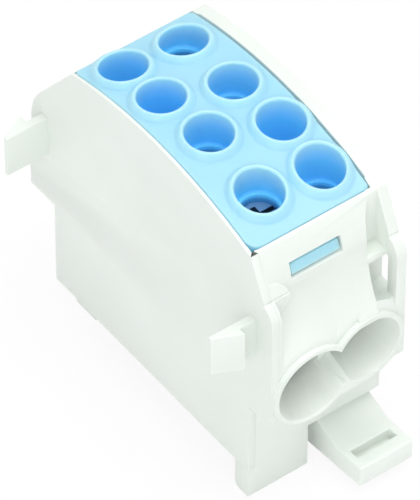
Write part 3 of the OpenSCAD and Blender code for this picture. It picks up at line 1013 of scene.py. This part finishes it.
@dataclass
class FrontForms:
    """Lower lips of the large mouths, and the cheek beside the pocket.

    A lip is the lower arc of a collar: between an outer cylinder and the cone of
    the mouth, r = bore + (mouth - bore) * (y - throat) / length. The cheek follows
    the face, which flares out to each collar with a hollow curve,
    out = R - sqrt(R^2 - (W - t)^2), where t is the distance from the collar.
    """

    large: Entry = field(default_factory=lambda: Entry(-4.55, 18.0, 4.4, 5.8))
    small: Entry = field(default_factory=lambda: Entry(4.6, 19.2, 3.75, 5.2))
    turn_x: float = -0.5
    reach_front: float = 26.0
    reach_rear: float = 29.27
    wall_front: float = 20.1
    wall_rear: float = 23.6
    mouth_l: float = 5.4
    lip_half_deg: float = 62.0
    lip_hide_deg: float = 40.0
    lip_hide: float = 0.3
    lip_fade_deg: float = 8.0
    lip_around: int = 49
    lip_rows: int = 20
    lip_round: float = 0.25
    skin: float = 0.03
    face_y: float = 22.75
    rim_land: float = 0.2
    blend_h: float = 35.4
    cheek_x: tuple[float, float] = (3.2, 6.5)
    cheek_h: tuple[float, float] = (23.8, 32.7)
    cheek_fade: float = 0.6
    cheek_sink: float = 2.0
    cheek_across: int = 12
    cheek_up: int = 36
    cheek_back: float = 22.3

    def lip(
        self, entry: Entry, reach: float, wall: float
    ) -> tuple[np.ndarray, list[list[int]]]:
        """The lower arc of a collar at the front.

        Args:
            entry: the cable entry.
            reach: distance of the collar's edge from the middle.
            wall: distance of the wall that the lip grows from.

        Returns:
            The points and the faces.
        """
        a = np.radians(np.linspace(-self.lip_half_deg, self.lip_half_deg, self.lip_around))
        y = np.linspace(wall, reach, self.lip_rows)
        yy, aa = np.meshgrid(y, a, indexing="ij")
        part = np.clip((yy - (reach - self.mouth_l)) / self.mouth_l, 0.0, 1.0)
        past = np.degrees(np.abs(aa)) - self.lip_hide_deg
        hide = np.clip(past / self.lip_fade_deg, 0.0, 1.0)
        inner = entry.bore_r + (entry.mouth_r - entry.bore_r) * part + self.lip_hide * hide
        outer = np.full_like(inner, entry.collar_r + self.skin)
        r = np.concatenate([outer, inner[:, ::-1]], axis=1)
        a2 = np.concatenate([aa, aa[:, ::-1]], axis=1)
        y2 = np.concatenate([yy, yy], axis=1)
        points = np.stack([entry.x + r * np.sin(a2), -y2, entry.h - r * np.cos(a2)], axis=-1)
        return points.reshape(-1, 3), capped_faces(len(y), 2 * len(a))

    def face(self, x: np.ndarray, z: np.ndarray) -> np.ndarray:
        """How far the face stands in front of the middle, at x and z."""
        out = np.full_like(x, self.face_y)
        depth = self.reach_front - self.rim_land - self.face_y
        for entry in (self.large, self.small):
            width = self.blend_h - entry.h - entry.collar_r
            curve = (width**2 + depth**2) / (2 * depth)
            far = np.clip(np.hypot(x - entry.x, z - entry.h) - entry.collar_r, 0.0, width)
            out = np.maximum(out, self.face_y + curve - np.sqrt(curve**2 - (width - far) ** 2))
        return out

    def cheek(self) -> tuple[np.ndarray, list[list[int]]]:
        """The thin wall in front of the room that takes the next block's tab.

        It stands a skin in front of the face and dips behind it at its edges.

        Returns:
            The points and the faces.
        """
        x = np.linspace(*self.cheek_x, self.cheek_across)
        z = np.linspace(*self.cheek_h, self.cheek_up)
        zz, xx = np.meshgrid(z, x, indexing="ij")
        edge = np.minimum.reduce([xx - x[0], zz - z[0], z[-1] - zz])
        sink = self.cheek_sink
        lift = np.clip(edge / self.cheek_fade * (sink + 1.0) - sink, -sink, 1.0)
        front = self.face(xx, zz) + self.skin * lift
        back = np.full_like(front, self.cheek_back)
        x2 = np.concatenate([xx, xx[:, ::-1]], axis=1)
        z2 = np.concatenate([zz, zz], axis=1)
        y2 = np.concatenate([front, back], axis=1)
        points = np.stack([x2, -y2, z2], axis=-1)
        return points.reshape(-1, 3), capped_faces(len(z), 2 * len(x))

    def declared(
        self,
        name: str,
        form: tuple[np.ndarray, list[list[int]]],
        finish: bpy.types.Material,
        soft: float,
    ) -> bpy.types.Object:
        """Args:
            name: name of the piece.
            form: points and faces of the form.
            finish: its plastic.
            soft: width of its edge rounding.

        Returns:
            The piece.
        """
        obj = piece(name, *form, finish)
        soften(obj, soft)
        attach(obj, Body.BASE.value)
        return obj

    def build(self, finish: bpy.types.Material) -> list[bpy.types.Object]:
        """Builds the lips of both ends and the cheek.

        Args:
            finish: plastic of the housing.

        Returns:
            The pieces.
        """
        front = self.lip(self.large, self.reach_front + self.skin, self.wall_front)
        points, faces = self.lip(self.large, self.reach_rear, self.wall_rear)
        turned = points * np.array([-1.0, -1.0, 1.0]) + np.array([2 * self.turn_x, 0.0, 0.0])
        return [
            self.declared("entry_lip_front", front, finish, self.lip_round),
            self.declared("entry_lip_rear", (turned, faces), finish, self.lip_round),
            self.declared("pocket_cheek", self.cheek(), finish, self.skin),
        ]


# ---------------------------------------------------------------- studio


@dataclass(frozen=True)
class Lamp:
    """A large soft lamp that looks at the block.

    Attributes:
        name: its name.
        place: where it stands, in metres.
        size: width of its face, in metres.
        power: its power, in watts.
    """

    name: str
    place: Triple
    size: float
    power: float


@dataclass
class Studio:
    """Pale floor, soft light and the camera."""

    lamps: tuple[Lamp, ...] = (
        Lamp("lamp_top", (0.1, -0.1, 0.7), 0.5, 2.2),
        Lamp("lamp_left", (-0.6, -0.5, 0.45), 0.5, 1.6),
    )
    surround: float = 0.75
    floor_half: float = 3.0
    floor_grey: float = 0.9
    floor_rough: float = 0.9
    floor_z: float = -0.00525
    floor_white: float = 0.88
    aim: Triple = (0.0, 0.0, 0.022)
    azimuth: float = -36.73
    elevation: float = 46.98
    distance: float = 0.8
    lens: float = 428.6
    sensor: float = 36.0
    clip_range: tuple[float, float] = (0.05, 20.0)
    right_shift: float = -0.00187
    up_shift: float = -0.00198

    def build(self) -> None:
        """Builds the floor, the light and the camera."""
        self.floor()
        self.light()
        self.camera()

    def floor(self) -> None:
        """A plain pale floor that the camera sees as white."""
        mesh = bpy.data.meshes.new("floor")
        r, z = self.floor_half, self.floor_z
        mesh.from_pydata([(-r, -r, z), (r, -r, z), (r, r, z), (-r, r, z)], [], [(0, 1, 2, 3)])
        obj = bpy.data.objects.new("floor", mesh)
        bpy.context.scene.collection.objects.link(obj)
        mesh.materials.append(self.floor_finish())

    def floor_finish(self) -> bpy.types.Material:
        """Pale floor that the camera and reflections see close to white.

        Returns:
            The finished material, which still shows a faint shadow.
        """
        mat = bpy.data.materials.new("pale_floor")
        mat.use_nodes = True
        tree = mat.node_tree
        shader = tree.nodes["Principled BSDF"]
        shader.inputs["Base Color"].default_value = (*[self.floor_grey] * 3, 1)
        shader.inputs["Roughness"].default_value = self.floor_rough
        white = add_node(tree, "ShaderNodeEmission")
        light = add_node(tree, "ShaderNodeLightPath")
        seen = add_node(tree, "ShaderNodeMath", operation="MAXIMUM")
        tree.links.new(light.outputs["Is Camera Ray"], seen.inputs[0])
        tree.links.new(light.outputs["Is Glossy Ray"], seen.inputs[1])
        share = add_node(tree, "ShaderNodeMath", operation="MULTIPLY")
        share.inputs[1].default_value = self.floor_white
        tree.links.new(seen.outputs[0], share.inputs[0])
        mix = add_node(tree, "ShaderNodeMixShader")
        tree.links.new(share.outputs[0], mix.inputs["Fac"])
        tree.links.new(shader.outputs["BSDF"], mix.inputs[1])
        tree.links.new(white.outputs["Emission"], mix.inputs[2])
        tree.links.new(mix.outputs["Shader"], tree.nodes["Material Output"].inputs["Surface"])
        return mat

    def light(self) -> None:
        """A bright even surround and two large soft lamps."""
        world = bpy.data.worlds.new("surround")
        bpy.context.scene.world = world
        world.use_nodes = True
        background = world.node_tree.nodes["Background"]
        background.inputs["Color"].default_value = (1, 1, 1, 1)
        background.inputs["Strength"].default_value = self.surround
        for lamp in self.lamps:
            data = bpy.data.lights.new(lamp.name, "AREA")
            data.size = lamp.size
            data.energy = lamp.power
            obj = bpy.data.objects.new(lamp.name, data)
            obj.location = lamp.place
            ahead = Vector(self.aim) - Vector(lamp.place)
            obj.rotation_euler = ahead.to_track_quat("-Z", "Y").to_euler()
            bpy.context.scene.collection.objects.link(obj)

    def camera(self) -> None:
        """Sets up the camera at its viewing angle."""
        a, e = math.radians(self.azimuth), math.radians(self.elevation)
        back = Vector((math.sin(a) * math.cos(e), -math.cos(a) * math.cos(e), math.sin(e)))
        right = Vector((math.cos(a), math.sin(a), 0.0))
        up = back.cross(right)
        data = bpy.data.cameras.new("camera")
        data.lens = self.lens
        data.sensor_width = self.sensor
        data.clip_start, data.clip_end = self.clip_range
        obj = bpy.data.objects.new("camera", data)
        obj.location = (
            Vector(self.aim) + back * self.distance
            + right * self.right_shift + up * self.up_shift
        )
        obj.rotation_euler = (-back).to_track_quat("-Z", "Y").to_euler()
        bpy.context.scene.collection.objects.link(obj)
        bpy.context.scene.camera = obj


def main() -> None:
    """Builds the sub-assemblies in order and reports each piece."""
    logging.basicConfig(level=logging.INFO)
    bpy.context.scene.view_settings.view_transform = "Standard"
    Studio().build()
    housing = Plastic("housing_plastic", (0.80, 0.85, 0.80), (0.76, 0.81, 0.76)).build()
    # Blue cover, with a painted hole shade and a painted blue glow down its holes.
    cover = Plastic(
        "cover_plastic", (0.41, 0.71, 0.83), (0.38, 0.69, 0.82), painted_hole_shade=(0.15, 0.60, 0.99),
        roughness=0.35, scatter=0.85, scatter_reach=0.0014,
        painted_glow_colour=(0.12, 0.55, 1.0), painted_glow_strength=0.14,
    ).build()
    tin = Metal("tinned_metal", (0.72, 0.72, 0.70), (0.60, 0.60, 0.58)).build()
    # Steel whose blue cast is a painted reflection of the blue hole walls; the spring wears it
    # too.
    steel = Metal("steel", (0.34, 0.42, 0.52), (0.26, 0.34, 0.44), roughness=0.36).build()
    built = Mouldings().build(housing)
    built += FrontForms().build(housing)
    screw_cover = ScrewCover()
    built.append(screw_cover.build(cover))
    built += ClampScrews().build(screw_cover.clamps, steel)
    built.append(ConductorBlock().build(tin))
    built.append(SlideSpring().build(steel))
    for obj in built:
        log.info("%s: %d faces", obj.name, len(obj.data.polygons))


if __name__ == "__main__":
    main()
